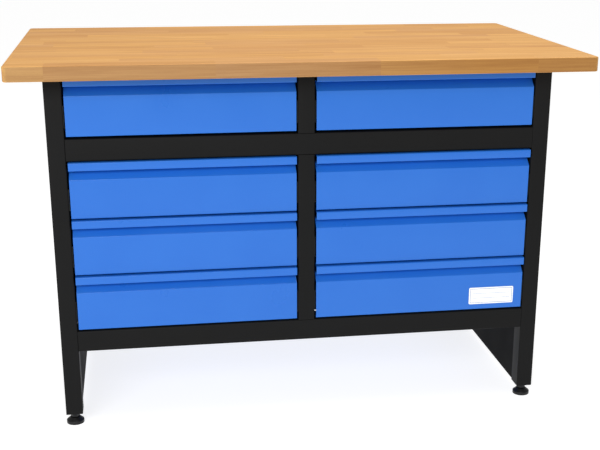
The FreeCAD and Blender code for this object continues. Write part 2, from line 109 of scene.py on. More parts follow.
floor_mesh = bpy.data.meshes.new("floor")
floor_corners = [(x * FLOOR_HALF, y * FLOOR_HALF, 0) for x, y in ((-1, -1), (1, -1), (1, 1), (-1, 1))]
floor_mesh.from_pydata(floor_corners, [], [(0, 1, 2, 3)])
floor = bpy.data.objects.new("floor", floor_mesh)
bpy.context.scene.collection.objects.link(floor)
floor_paper = bpy.data.materials.new("studio_paper")
floor_paper.use_nodes = True
paper = floor_paper.node_tree.nodes["Principled BSDF"]
paper.inputs["Base Color"].default_value = paint("#A8A8A8")
paper.inputs["Roughness"].default_value = 0.95
paper.inputs["Emission Color"].default_value = paint("#FFFFFF")
paper.inputs["Emission Strength"].default_value = FLOOR_GLOW
floor_mesh.materials.append(floor_paper)

SURROUND_LIGHT = 0.42
surround = bpy.data.worlds.new("studio")
surround.use_nodes = True
studio_tree = surround.node_tree
backdrop = studio_tree.nodes["Background"]
backdrop.inputs["Color"].default_value = paint("#FFFFFF")
seen = studio_tree.nodes.new("ShaderNodeLightPath")
glow = studio_tree.nodes.new("ShaderNodeMapRange")
glow.inputs["To Min"].default_value = SURROUND_LIGHT
studio_tree.links.new(seen.outputs["Is Camera Ray"], glow.inputs["Value"])
studio_tree.links.new(glow.outputs["Result"], backdrop.inputs["Strength"])
bpy.context.scene.world = surround


def soft_panel(name, place, target, width, height, power):
    """A lamp panel at place that faces target."""
    data = bpy.data.lights.new(name, "AREA")
    data.shape = "RECTANGLE"
    data.size = width
    data.size_y = height
    data.energy = power
    panel = bpy.data.objects.new(name, data)
    panel.location = place
    panel.rotation_euler = (Vector(target) - Vector(place)).to_track_quat("-Z", "Y").to_euler()
    bpy.context.scene.collection.objects.link(panel)


soft_panel("front_left_panel", (-1.6, -3.7, 2.15), (0, 0, 0.4), 2.6, 1.2, 108)
soft_panel("overhead_panel", (0.3, -0.1, 3.0), (0.2, 0, 0.8), 2.4, 1.4, 50)
print("the floor and two panels stand ready, the surround gives", SURROUND_LIGHT)

# %% [markdown]
# ## Helpers for materials
# One small function adds a node, sets it up and links it, so that each material reads as a
# list of what its surface is made of. Values that are the same all over a surface are set on
# the shader itself.

# %% Helpers for materials
def add(tree, kind, inputs=(), **settings):
    """Add a node. settings are its properties; inputs maps sockets to values or to outputs."""
    node = tree.nodes.new(kind)
    for name, value in settings.items():
        setattr(node, name, value)
    for socket, value in dict(inputs).items():
        if isinstance(value, bpy.types.NodeSocket):
            tree.links.new(value, node.inputs[socket])
        else:
            node.inputs[socket].default_value = value
    return node


def new_material(name, **shader_values):
    """A material with one Principled shader, and that shader."""
    material = bpy.data.materials.new(name)
    material.use_nodes = True
    shader = material.node_tree.nodes["Principled BSDF"]
    for socket, value in shader_values.items():
        shader.inputs[socket.replace("_", " ")].default_value = value
    return material, material.node_tree, shader


# %% [markdown]
# ## Powder coat, black and blue
# Frame and drawers are steel sheet, sprayed with dry polyester powder and baked. The powder
# melts to a tough skin with a faint orange peel, soft waves 1 to 2 mm across. The baked
# colour is even, so the life is in the gloss: cloudy patches a hand wide are a little
# duller, and where the skin is thinnest the tone shifts slightly. The thin end and back
# panels have a matt black that shines less than the satin black of the frame. Their base
# colour is also painted a little darker than the frame's. That is painted shade, for the
# shade that falls on them deeper in the bench.

# %% Powder coat material
PEEL_WAVE = 1.8 * MM
CLOUD_WIDTH = 120 * MM
POWDER_SPECK = 0.5 * MM


def powder_coat(name, density, colour, thin_colour, dullest, glossiest, peel_depth, shine=0.5):
    material, tree, shader = new_material(name, IOR=density, Specular_IOR_Level=shine)
    place = add(tree, "ShaderNodeTexCoord").outputs["Object"]
    cloud = add(tree, "ShaderNodeTexNoise", {"Vector": place, "Scale": 1 / CLOUD_WIDTH, "Detail": 4.0})
    speck = add(tree, "ShaderNodeTexNoise", {"Vector": place, "Scale": 1 / POWDER_SPECK, "Detail": 1.0})
    patch = add(tree, "ShaderNodeMath", {0: cloud.outputs[0], 1: speck.outputs[0]}, operation="MULTIPLY")
    tint = add(tree, "ShaderNodeMix", {0: patch.outputs[0], 6: paint(colour), 7: paint(thin_colour)},
               data_type="RGBA")
    gloss = add(tree, "ShaderNodeMapRange",
                {0: cloud.outputs[0], 1: 0.3, 2: 0.7, 3: glossiest, 4: dullest})
    peel = add(tree, "ShaderNodeTexNoise", {"Vector": place, "Scale": 1 / PEEL_WAVE, "Detail": 1.0})
    skin = add(tree, "ShaderNodeBump",
               {"Height": peel.outputs[0], "Strength": 1.0, "Distance": peel_depth})
    tree.links.new(tint.outputs[2], shader.inputs["Base Color"])
    tree.links.new(gloss.outputs[0], shader.inputs["Roughness"])
    tree.links.new(skin.outputs[0], shader.inputs["Normal"])
    return material


frame_black = powder_coat("powder_coated_steel_satin_black", 1.28, "#0D0D0D", "#1C1C1C",
                          dullest=0.62, glossiest=0.5, peel_depth=0.03 * MM, shine=0.34)
# The panels' base colours are painted darker than the frame's, as painted shade. Their lower shine and
# duller gloss are the matt coat.
panel_black_painted_shade = powder_coat("powder_coated_steel_matt_black", 1.28, "#080808", "#161616",
                          dullest=0.8, glossiest=0.68, peel_depth=0.05 * MM, shine=0.16)
drawer_blue = powder_coat("powder_coated_steel_blue", 1.4, "#1D65C3", "#2F74CE",
                          dullest=0.36, glossiest=0.27, peel_depth=0.012 * MM)
print("powder coats:", frame_black.name, panel_black_painted_shade.name, drawer_blue.name)

# %% [markdown]
# ## Oiled beech
# The board is glued from beech staves, side by side and end to end, then planed and oiled.
# Arithmetic lays the staves out: Y gives the row, each row is pushed along X by its own
# random length, and X then gives the stave. Row and stave together pick the stave's tone and
# its place in the grain. Long thin noise along X is the grain, shorter dashes are the rays
# and pores that make beech look like beech, and the two ends show curved growth rings.

# %% Oiled beech material
STAVE_WIDTH = 44 * MM
STAVE_LENGTH = 330 * MM
RING_WIDTH = 2.4 * MM
BROAD_GRAIN = (450 * MM, 14 * MM)
FINE_GRAIN = (125 * MM, 2.6 * MM)
# Real rays are half this long. They are drawn coarser so that they show.
RAYS = (3.1 * MM, 0.77 * MM)
BOARD_LOW, BOARD_HIGH = (Vector(corner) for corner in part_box("worktop"))


def mark_scale(mark):
    """The scale of a noise whose marks have this length along X and this width."""
    length, width = mark
    return (1 / length, 1 / width, 1 / width)


def oiled_beech():
    material, tree, shader = new_material("oiled_laminated_beech", IOR=1.46, Specular_IOR_Level=0.25)
    coordinates = add(tree, "ShaderNodeTexCoord")
    place = coordinates.outputs["Object"]
    axes = add(tree, "ShaderNodeSeparateXYZ", {0: place})

    # Which row, and how far that row is pushed along.
    from_front = add(tree, "ShaderNodeMath", {0: axes.outputs["Y"], 1: -BOARD_LOW.y}, operation="ADD")
    row_place = add(tree, "ShaderNodeMath", {0: from_front.outputs[0], 1: STAVE_WIDTH},
                    operation="DIVIDE")
    row = add(tree, "ShaderNodeMath", {0: row_place.outputs[0]}, operation="FLOOR")
    push = add(tree, "ShaderNodeTexWhiteNoise", {"W": row.outputs[0]}, noise_dimensions="1D")
    along = add(tree, "ShaderNodeMath", {0: axes.outputs["X"], 1: 1 / STAVE_LENGTH, 2: 9.0},
                operation="MULTIPLY_ADD")
    pushed = add(tree, "ShaderNodeMath", {0: along.outputs[0], 1: push.outputs["Value"]},
                 operation="ADD")
    stave = add(tree, "ShaderNodeMath", {0: pushed.outputs[0]}, operation="FLOOR")
    which = add(tree, "ShaderNodeCombineXYZ", {0: row.outputs[0], 1: stave.outputs[0]})
    tone = add(tree, "ShaderNodeTexWhiteNoise", {"Vector": which.outputs[0]}, noise_dimensions="3D")

    # Each stave is another plank, so its grain comes from another place.
    other_plank = add(tree, "ShaderNodeVectorMath", {0: tone.outputs["Color"], 1: (5.0, 5.0, 5.0)},
                      operation="MULTIPLY")
    in_plank = add(tree, "ShaderNodeVectorMath", {0: place, 1: other_plank.outputs[0]}, operation="ADD")
    long_place = add(tree, "ShaderNodeMapping",
                     {"Vector": in_plank.outputs[0], "Scale": mark_scale(BROAD_GRAIN)})
    grain = add(tree, "ShaderNodeTexNoise", {"Vector": long_place.outputs[0], "Scale": 1.0,
                                             "Detail": 6.0, "Roughness": 0.72, "Distortion": 0.5})
    fine_place = add(tree, "ShaderNodeMapping",
                     {"Vector": in_plank.outputs[0], "Scale": mark_scale(FINE_GRAIN)})
    fine_grain = add(tree, "ShaderNodeTexNoise",
                     {"Vector": fine_place.outputs[0], "Scale": 1.0, "Detail": 2.0})
    ray_place = add(tree, "ShaderNodeMapping",
                    {"Vector": in_plank.outputs[0], "Scale": mark_scale(RAYS)})
    rays = add(tree, "ShaderNodeTexNoise", {"Vector": ray_place.outputs[0], "Scale": 1.0, "Detail": 1.0})

    tones = add(tree, "ShaderNodeValToRGB", {0: tone.outputs["Value"]})
    tones.color_ramp.elements[0].color = paint("#CB9658")
    tones.color_ramp.elements[1].color = paint("#DDAA66")
    for position, colour in ((0.2, "#D39F5C"), (0.45, "#CF9C63"), (0.7, "#D9A45D")):
        tones.color_ramp.elements.new(position).color = paint(colour)
    dark_grain = add(tree, "ShaderNodeMapRange", {0: grain.outputs[0], 1: 0.4, 2: 0.72, 3: 0.0, 4: 0.7})
    grained = add(tree, "ShaderNodeMix",
                  {0: dark_grain.outputs[0], 6: tones.outputs[0], 7: paint("#AD773F")},
                  data_type="RGBA")
    fine_share = add(tree, "ShaderNodeMapRange",
                     {0: fine_grain.outputs[0], 1: 0.4, 2: 0.7, 3: 0.0, 4: 0.5})
    streaked = add(tree, "ShaderNodeMix",
                   {0: fine_share.outputs[0], 6: grained.outputs[2], 7: paint("#AE7A45")},
                   data_type="RGBA")
    ray_share = add(tree, "ShaderNodeMapRange", {0: rays.outputs[0], 1: 0.6, 2: 0.72, 3: 0.0, 4: 0.3})
    rayed = add(tree, "ShaderNodeMix",
                {0: ray_share.outputs[0], 6: streaked.outputs[2], 7: paint("#9F6B38")},
                data_type="RGBA")

    # The glue line between two staves is a hair darker than the wood.
    in_row = add(tree, "ShaderNodeMath", {0: row_place.outputs[0]}, operation="FRACT")
    from_joint = add(tree, "ShaderNodeMath", {0: in_row.outputs[0], 1: 0.5}, operation="SUBTRACT")
    joint_way = add(tree, "ShaderNodeMath", {0: from_joint.outputs[0]}, operation="ABSOLUTE")
    glue = add(tree, "ShaderNodeMapRange", {0: joint_way.outputs[0], 1: 0.488, 2: 0.5, 3: 0.0, 4: 0.3})
    glued = add(tree, "ShaderNodeMix", {0: glue.outputs[0], 6: rayed.outputs[2], 7: paint("#9C6B3F")},
                data_type="RGBA")

    # Growth rings on the two sawn ends, curved about a heart that lies outside the stave.
    heart = add(tree, "ShaderNodeVectorMath", {0: in_plank.outputs[0], 1: (0.0, 1.0, 1.0)},
                operation="MULTIPLY")
    ring_place = add(tree, "ShaderNodeVectorMath", {0: heart.outputs[0]}, operation="LENGTH")
    ring_turn = add(tree, "ShaderNodeMath",
                    {0: ring_place.outputs["Value"], 1: 2 * math.pi / RING_WIDTH},
                    operation="MULTIPLY")
    ring = add(tree, "ShaderNodeMath", {0: ring_turn.outputs[0]}, operation="SINE")
    ring_share = add(tree, "ShaderNodeMapRange", {0: ring.outputs[0], 1: -1.0, 2: 1.0, 3: 0.25, 4: 0.75})
    ringed = add(tree, "ShaderNodeMix",
                 {0: ring_share.outputs[0], 6: paint("#C28E5C"), 7: paint("#9E6C40")},
                 data_type="RGBA")
    facing = add(tree, "ShaderNodeSeparateXYZ", {0: coordinates.outputs["Normal"]})
    end_on = add(tree, "ShaderNodeMath", {0: facing.outputs["X"]}, operation="ABSOLUTE")
    end_share = add(tree, "ShaderNodeMapRange", {0: end_on.outputs[0], 1: 0.8, 2: 0.95})
    wood = add(tree, "ShaderNodeMix",
               {0: end_share.outputs[0], 6: glued.outputs[2], 7: ringed.outputs[2]},
               data_type="RGBA")

    # The long edges are painted darker than the top, a painted shade for light that falls from
    # above. Their tint runs from cool at the left to warm at the right, a painted tint of a cooler
    # light from the left.
    side_on = add(tree, "ShaderNodeMath", {0: facing.outputs["Y"]}, operation="ABSOLUTE")
    painted_edge_shade_share = add(tree, "ShaderNodeMapRange", {0: side_on.outputs[0], 1: 0.6, 2: 0.9})
    across = add(tree, "ShaderNodeMapRange", {0: axes.outputs["X"], 1: -0.2, 2: 0.35})
    # Painted light: this tint darkens the long edges and cools their left half.
    painted_edge_light_tint = add(tree, "ShaderNodeMix",
                    {0: across.outputs[0], 6: paint("#E1E9FB"), 7: paint("#D4CCB8")},
                    data_type="RGBA")
    wood_with_painted_edge_light = add(tree, "ShaderNodeMix",
                {0: painted_edge_shade_share.outputs[0], 6: wood.outputs[2], 7: painted_edge_light_tint.outputs[2]},
                data_type="RGBA", blend_type="MULTIPLY")

    satin = add(tree, "ShaderNodeMapRange", {0: grain.outputs[0], 3: 0.45, 4: 0.7})
    relief = add(tree, "ShaderNodeBump",
                 {"Height": rays.outputs[0], "Strength": 0.5, "Distance": 0.02 * MM})
    tree.links.new(wood_with_painted_edge_light.outputs[2], shader.inputs["Base Color"])
    tree.links.new(satin.outputs[0], shader.inputs["Roughness"])
    tree.links.new(relief.outputs[0], shader.inputs["Normal"])
    return material


beech = oiled_beech()
print("rows of staves:", math.ceil((BOARD_HIGH.y - BOARD_LOW.y) / STAVE_WIDTH))

# %% [markdown]
# ## Zinc plate, blackened steel, moulded plastic
# Nuts and wood screws are steel with bright zinc plate. The slides are roll-formed and black
# passivated: faint streaks follow the way the strip was drawn. Panel screws and feet stems
# are steel with a thin black oxide, whose high spots are rubbed to grey. Foot pads are black
# nylon with the fine grain of a spark-eroded mould. The streaks, the rub and the grain are
# all about a millimetre wide or less.

# %% Small finishes
ROLLED_STREAK = (0.8 * MM, 55 * MM)
ZINC_BLOOM = 17 * MM
RUBBED_SPOT = 1.5 * MM
MOULD_GRIT = 0.3 * MM


def rolled_streaks(tree, place):
    """Streaks that run along Y, the way the strip was rolled."""
    width, length = ROLLED_STREAK
    drawn = add(tree, "ShaderNodeMapping",
                {"Vector": place, "Scale": (1 / width, 1 / length, 1 / width)})
    return add(tree, "ShaderNodeTexNoise", {"Vector": drawn.outputs[0], "Scale": 1.0, "Detail": 3.0})


def rolled_zinc():
    # Zinc plate scatters light in a soft bluish white along the rolling direction.
    material, tree, shader = new_material("zinc_plated_rolled_steel", Metallic=1.0)
    place = add(tree, "ShaderNodeTexCoord").outputs["Object"]
    streak = rolled_streaks(tree, place)
    bloom = add(tree, "ShaderNodeTexNoise", {"Vector": place, "Scale": 1 / ZINC_BLOOM, "Detail": 3.0})
    tint = add(tree, "ShaderNodeMix", {0: streak.outputs[0], 6: paint("#A9B0B6"), 7: paint("#D9DCDD")},
               data_type="RGBA")
    gloss = add(tree, "ShaderNodeMapRange", {0: bloom.outputs[0], 1: 0.3, 2: 0.7, 3: 0.22, 4: 0.42})
    relief = add(tree, "ShaderNodeBump",
                 {"Height": streak.outputs[0], "Strength": 0.4, "Distance": 0.01 * MM})
    tree.links.new(tint.outputs[2], shader.inputs["Base Color"])
    tree.links.new(gloss.outputs[0], shader.inputs["Roughness"])
    tree.links.new(relief.outputs[0], shader.inputs["Normal"])
    return material


def black_passivated_zinc():
    # Black chromate over zinc leaves the rolled streaks and a metal's sheen under a dark film.
    material, tree, shader = new_material("black_zinc_plated_rolled_steel", Metallic=0.6)
    place = add(tree, "ShaderNodeTexCoord").outputs["Object"]
    streak = rolled_streaks(tree, place)
    tint = add(tree, "ShaderNodeMix", {0: streak.outputs[0], 6: paint("#111214"), 7: paint("#2C2D30")},
               data_type="RGBA")
    gloss = add(tree, "ShaderNodeMapRange", {0: streak.outputs[0], 3: 0.3, 4: 0.5})
    tree.links.new(tint.outputs[2], shader.inputs["Base Color"])
    tree.links.new(gloss.outputs[0], shader.inputs["Roughness"])
    return material


def black_oxide():
    # Black oxide is a thin dark skin on steel: it hides colour but keeps a metal's glint.
    material, tree, shader = new_material("black_oxide_steel", Metallic=0.8)
    place = add(tree, "ShaderNodeTexCoord").outputs["Object"]
    rub = add(tree, "ShaderNodeTexNoise", {"Vector": place, "Scale": 1 / RUBBED_SPOT, "Detail": 4.0})
    tint = add(tree, "ShaderNodeMix", {0: rub.outputs[0], 6: paint("#161617"), 7: paint("#3A3A3C")},
               data_type="RGBA")
    gloss = add(tree, "ShaderNodeMapRange", {0: rub.outputs[0], 3: 0.3, 4: 0.6})
    tree.links.new(tint.outputs[2], shader.inputs["Base Color"])
    tree.links.new(gloss.outputs[0], shader.inputs["Roughness"])
    return material


def moulded_nylon():
    # A spark-eroded mould leaves a grit of 0.3 mm that breaks up the highlight.
    material, tree, shader = new_material("moulded_black_nylon", IOR=1.53, Specular_IOR_Level=0.3)
    place = add(tree, "ShaderNodeTexCoord").outputs["Object"]
    grit = add(tree, "ShaderNodeTexNoise", {"Vector": place, "Scale": 1 / MOULD_GRIT, "Detail": 2.0})
    tint = add(tree, "ShaderNodeMix", {0: grit.outputs[0], 6: paint("#080809"), 7: paint("#151516")},
               data_type="RGBA")
    gloss = add(tree, "ShaderNodeMapRange", {0: grit.outputs[0], 3: 0.34, 4: 0.5})
    relief = add(tree, "ShaderNodeBump",
                 {"Height": grit.outputs[0], "Strength": 0.6, "Distance": 0.03 * MM})
    tree.links.new(tint.outputs[2], shader.inputs["Base Color"])
    tree.links.new(gloss.outputs[0], shader.inputs["Roughness"])
    tree.links.new(relief.outputs[0], shader.inputs["Normal"])
    return material


zinc = rolled_zinc()
black_zinc = black_passivated_zinc()
dark_steel = black_oxide()
nylon = moulded_nylon()
print("small finishes:", zinc.name, black_zinc.name, dark_steel.name, nylon.name)

# %% [markdown]
# ## Label print
# The lowest right drawer carries a small white plate. Here it is a plain write-on label: a
# thin blue frame and two ruled lines, printed on satin white. The print is arithmetic on the
# distance from the plate's middle, so it stays sharp at any size.

# %% Label material
LABEL_LOW, LABEL_HIGH = (Vector(corner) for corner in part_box("label_plate"))
LABEL_MIDDLE = (LABEL_LOW + LABEL_HIGH) / 2
PRINT_MARGIN = 3.2 * MM
PRINT_LINE = 0.9 * MM
RULE_SHARE = 0.88
LABEL_FIBRE = 0.6 * MM


def printed_label():
    material, tree, shader = new_material("printed_white_label", IOR=1.49)
    place = add(tree, "ShaderNodeTexCoord").outputs["Object"]
    centred = add(tree, "ShaderNodeVectorMath", {0: place, 1: LABEL_MIDDLE}, operation="SUBTRACT")
    way = add(tree, "ShaderNodeVectorMath", {0: centred.outputs[0]}, operation="ABSOLUTE")
    sides = add(tree, "ShaderNodeSeparateXYZ", {0: way.outputs[0]})
    half_x = (LABEL_HIGH.x - LABEL_LOW.x) / 2 - PRINT_MARGIN
    half_z = (LABEL_HIGH.z - LABEL_LOW.z) / 2 - PRINT_MARGIN

    # Negative inside the frame, zero on its middle line, positive outside.
    past_x = add(tree, "ShaderNodeMath", {0: sides.outputs["X"], 1: half_x}, operation="SUBTRACT")
    past_z = add(tree, "ShaderNodeMath", {0: sides.outputs["Z"], 1: half_z}, operation="SUBTRACT")
    past = add(tree, "ShaderNodeMath", {0: past_x.outputs[0], 1: past_z.outputs[0]}, operation="MAXIMUM")
    off_frame = add(tree, "ShaderNodeMath", {0: past.outputs[0]}, operation="ABSOLUTE")
    on_frame = add(tree, "ShaderNodeMath", {0: off_frame.outputs[0], 1: PRINT_LINE / 2},
                   operation="LESS_THAN")

    # Two ruled lines, a third of the way up and down, that stop short of the frame.
    rule_way = add(tree, "ShaderNodeMath", {0: sides.outputs["Z"], 1: half_z / 3}, operation="SUBTRACT")
    off_rule = add(tree, "ShaderNodeMath", {0: rule_way.outputs[0]}, operation="ABSOLUTE")
    on_rule = add(tree, "ShaderNodeMath", {0: off_rule.outputs[0], 1: PRINT_LINE / 3},
                  operation="LESS_THAN")
    in_reach = add(tree, "ShaderNodeMath", {0: sides.outputs["X"], 1: half_x * RULE_SHARE},
                   operation="LESS_THAN")
    ruled = add(tree, "ShaderNodeMath", {0: on_rule.outputs[0], 1: in_reach.outputs[0]},
                operation="MULTIPLY")
    inked = add(tree, "ShaderNodeMath", {0: on_frame.outputs[0], 1: ruled.outputs[0]},
                operation="MAXIMUM")

    fibre = add(tree, "ShaderNodeTexNoise", {"Vector": place, "Scale": 1 / LABEL_FIBRE, "Detail": 2.0})
    sheet = add(tree, "ShaderNodeMix", {0: fibre.outputs[0], 6: paint("#F1F3F3"), 7: paint("#FBFCFC")},
                data_type="RGBA")
    tint = add(tree, "ShaderNodeMix", {0: inked.outputs[0], 6: sheet.outputs[2], 7: paint("#3C62A8")},
               data_type="RGBA")
    gloss = add(tree, "ShaderNodeMapRange", {0: fibre.outputs[0], 3: 0.3, 4: 0.42})
    tree.links.new(tint.outputs[2], shader.inputs["Base Color"])
    tree.links.new(gloss.outputs[0], shader.inputs["Roughness"])
    return material


label_white = printed_label()
FINISH = {
    "beech": beech,
    "frame_black": frame_black,
    "drawer_blue": drawer_blue,
    "zinc_steel": zinc,
    "slide_black": black_zinc,
    "black_screw": dark_steel,
    "black_plastic": nylon,
    "label_white": label_white,
}


def finish_of(name):
    """The finish of a node's slot, but the matt coat with its painted shade on the thin panels."""
    return panel_black_painted_shade if name.endswith("_panel") else FINISH[slot_of[name]]


for name, node in nodes.items():
    node.data.materials.clear()
    node.data.materials.append(finish_of(name))
print("every node has its finish:", sorted(FINISH))

# %% [markdown]
# ## Helpers for shapes
# A piece is a mesh in its final place, on an object that is neither moved nor turned. Its
# faces are turned outwards, round parts are shaded smooth and real edges stay sharp. It
# rides on the body of the CAD node that it takes the place of.

# %% Helpers for shapes
SMOOTH_UNDER = math.radians(35)
SAME_POINT = 0.001 * MM


def new_piece(name, shape, material, *taken_over):
    """Turn a bmesh into a piece that stands for the CAD nodes taken_over."""
    bmesh.ops.remove_doubles(shape, verts=shape.verts, dist=SAME_POINT)
    bmesh.ops.recalc_face_normals(shape, faces=shape.faces)
    mesh = bpy.data.meshes.new(name)
    shape.to_mesh(mesh)
    shape.free()
    mesh.materials.append(material)
    return show_piece(name, mesh, *taken_over)


def show_piece(name, mesh, *taken_over):
    """Show a finished mesh as a piece that rides with the nodes it takes over."""
    mesh.shade_smooth()
    mesh.set_sharp_from_angle(angle=SMOOTH_UNDER)
    piece = bpy.data.objects.new(name, mesh)
    bpy.context.scene.collection.objects.link(piece)
    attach(piece, body_of[taken_over[0]])
    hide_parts(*taken_over)
    return piece


def skin_rings(shape, rings, closed=True):
    """Join rings of points, each as long as the last, with four-sided faces."""
    rows = [[shape.verts.new(point) for point in ring] for ring in rings]
    count = len(rows[0])
    for low, high in zip(rows, rows[1:]):
        for i in range(count if closed else count - 1):
            j = (i + 1) % count
            shape.faces.new((low[i], low[j], high[j], high[i]))
    return rows


# %% [markdown]
# ## Worktop board
# The board has rounded corners and its edges are eased with a small router bit. It is
# skinned from rings: each ring is the board's outline, drawn in a little where the edge
# rounds over. One more ring just inside the rim keeps the flat top's shading flat.

# %% Worktop board
CORNER_RADIUS = 10 * MM
EASED_EDGE = 2 * MM
CORNER_STEPS = 12
EASE_STEPS = 5


def board_outline(inset, level):
    """The rounded outline of the board, drawn in by inset, at a height."""
    radius = CORNER_RADIUS - inset
    points = []
    corners = ((1, 1, 0), (-1, 1, 90), (-1, -1, 180), (1, -1, 270))
    for x_sign, y_sign, start in corners:
        edge_x = BOARD_HIGH.x if x_sign > 0 else BOARD_LOW.x
        edge_y = BOARD_HIGH.y if y_sign > 0 else BOARD_LOW.y
        for step in range(CORNER_STEPS + 1):
            angle = math.radians(start + 90 * step / CORNER_STEPS)
            points.append((edge_x - x_sign * CORNER_RADIUS + radius * math.cos(angle),
                           edge_y - y_sign * CORNER_RADIUS + radius * math.sin(angle), level))
    return points


board = bmesh.new()
rings = [board_outline(2 * EASED_EDGE, BOARD_LOW.z)]
for step in range(EASE_STEPS + 1):
    angle = math.pi / 2 * step / EASE_STEPS
    rings.append(board_outline(EASED_EDGE * (1 - math.sin(angle)),
                               BOARD_LOW.z + EASED_EDGE * (1 - math.cos(angle))))
rings += [[(x, y, BOARD_LOW.z + BOARD_HIGH.z - z) for x, y, z in ring] for ring in reversed(rings)]
rows = skin_rings(board, rings)
board.faces.new(rows[0])
board.faces.new(rows[-1])
worktop = new_piece("worktop_board", board, beech, "worktop")
print("worktop faces:", len(worktop.data.polygons))

# %% [markdown]
# ## Folded drawer fronts
# Each front is one sheet, folded on a press brake: a flange at the foot, the flat face, a
# slope that leads the fingers in, a lip to pull on and a flange on top. The fold line is
# walked in the YZ plane, every corner is replaced by an arc, and the path is given the
# sheet's thickness on both sides. That makes each bend round inside and out, so a bright
# line of light runs along it, as it does on real bent sheet.

# %% Folded drawer fronts
SHEET = 1.0 * MM
BEND_RADIUS = 2.0 * MM
BEND_STEPS = 6
FOOT_FLANGE = 14 * MM
LIP_HEIGHT = 17.2 * MM
LIP_REACH = 5 * MM
TOP_FLANGE = 20 * MM
GRIP_HEIGHT = 19.5 * MM
GRIP_DEPTH = 22 * MM


def offset_path(corners, distance):
    """An open path moved sideways, to the right of its direction."""
    moved = []
    for i, corner in enumerate(corners):
        ways = []
        if i > 0:
            ways.append((corner - corners[i - 1]).normalized())
        if i < len(corners) - 1:
            ways.append((corners[i + 1] - corner).normalized())
        sides = [Vector((way.y, -way.x)) for way in ways]
        middle = sum(sides, Vector((0, 0))).normalized()
        moved.append(corner + middle * distance / middle.dot(sides[0]))
    return moved


def rounded_path(corners, radius):
    """The same path with an arc at every corner, as (point, side) pairs."""
    path = []
    for i, corner in enumerate(corners):
        back = (corners[i - 1] - corner).normalized() if i > 0 else None
        ahead = (corners[i + 1] - corner).normalized() if i < len(corners) - 1 else None
        if back is None or ahead is None:
            way = ahead if back is None else -back
            path.append((corner, Vector((way.y, -way.x))))
            continue
        half_angle = back.angle(ahead) / 2
        reach = radius / math.tan(half_angle)
        centre = corner + (back + ahead).normalized() * radius / math.sin(half_angle)
        first = corner + back * reach - centre
        last = corner + ahead * reach - centre
        turning = first.angle_signed(last)
        for step in range(BEND_STEPS + 1):
            spoke = first.copy()
            spoke.rotate(Matrix.Rotation(-turning * step / BEND_STEPS, 2))
            outwards = spoke.normalized()
            way = Vector((-back.x, -back.y))
            way.rotate(Matrix.Rotation(-turning * step / BEND_STEPS, 2))
            side = Vector((way.y, -way.x))
            path.append((centre + outwards * radius, side))
    return path


def folded_strip(corners, thickness, bend_radius, start_x, end_x):
    """Bent sheet: corners is its outer line in YZ, thickness lies to the line's right."""
    middle = offset_path([Vector(corner) for corner in corners], thickness / 2)
    path = rounded_path(middle, bend_radius - thickness / 2)
    left = [point - side * thickness / 2 for point, side in path]
    right = [point + side * thickness / 2 for point, side in path]
    loop = left + right[::-1]
    shape = bmesh.new()
    ends = skin_rings(shape, [[(x, y, z) for y, z in loop] for x in (start_x, end_x)])
    count = len(left)
    for end in ends:
        for i in range(count - 1):
            shape.faces.new((end[i], end[i + 1], end[-2 - i], end[-1 - i]))
    return shape


fronts = sorted(name for name in nodes if name.endswith("_front"))
for name in fronts:
    low, high = (Vector(corner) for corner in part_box(name))
    face = low.y + LIP_REACH
    lip_foot = high.z - LIP_HEIGHT
    outer_line = [
        (face + FOOT_FLANGE, low.z),
        (face, low.z),
        (face, lip_foot - GRIP_HEIGHT),
        (face + GRIP_DEPTH, lip_foot),
        (low.y, lip_foot),
        (low.y, high.z),
        (face + TOP_FLANGE, high.z),
    ]
    shape = folded_strip(outer_line, SHEET, BEND_RADIUS, low.x, high.x)
    piece = new_piece(name + "_sheet", shape, drawer_blue, name)
print("fronts:", len(fronts), "each", round((high.x - low.x) / MM, 1), "mm wide,",
      round((high.z - low.z) / MM, 1), "mm high, faces:", len(piece.data.polygons))

# %% [markdown]
# ## Posts, rails, panels and trays
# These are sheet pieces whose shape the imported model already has, folds included. What a
# press and a welder add is that no edge is knife sharp. So each one is copied, its loose
# triangles are merged back into whole faces, and a fine bevel eases every real edge. The
# eased edges catch the light and draw each piece's outline, as powder coat does.

# %% Posts, rails, panels and trays
EDGE_EASE = 0.35 * MM
TRAY_EASE = 0.15 * MM
EASE_OVER = math.radians(50)
FLAT_UNDER = math.radians(0.5)
LARGEST_COPY_GAP = 0.002 * MM


def eased_copy(name, ease):
    """A copy of a CAD node with whole faces and softly eased edges."""
    shape = bmesh.new()
    shape.from_mesh(nodes[name].data)
    bmesh.ops.remove_doubles(shape, verts=shape.verts, dist=LARGEST_COPY_GAP)
    bmesh.ops.dissolve_limit(shape, angle_limit=FLAT_UNDER, verts=shape.verts, edges=shape.edges)
    mesh = bpy.data.meshes.new(name + "_eased")
    shape.to_mesh(mesh)
    shape.free()
    mesh.materials.append(finish_of(name))
    piece = show_piece(name + "_eased", mesh, name)
    bevel = piece.modifiers.new("eased_edges", "BEVEL")
    bevel.width = ease
    bevel.segments = 2
    bevel.limit_method = "ANGLE"
    bevel.angle_limit = EASE_OVER
    bevel.harden_normals = True
    return piece


trays = sorted(name for name in nodes if name.endswith("_box"))
welded = sorted(name for name in nodes if slot_of[name] == "frame_black")
for name in welded:
    eased_copy(name, EDGE_EASE)
for name in trays:
    eased_copy(name, TRAY_EASE)
print("eased frame pieces:", len(welded), "eased trays:", len(trays))

# %% [markdown]
# ## Label plate
# A thin plate with rounded corners. Its outline is skinned from three rings: the back, the
# front edge, and a ring drawn in slightly, so that its rim glints.

# %% Label plate
PLATE_CORNER = 3 * MM
PLATE_STEPS = 6
PLATE_EASE = 0.15 * MM


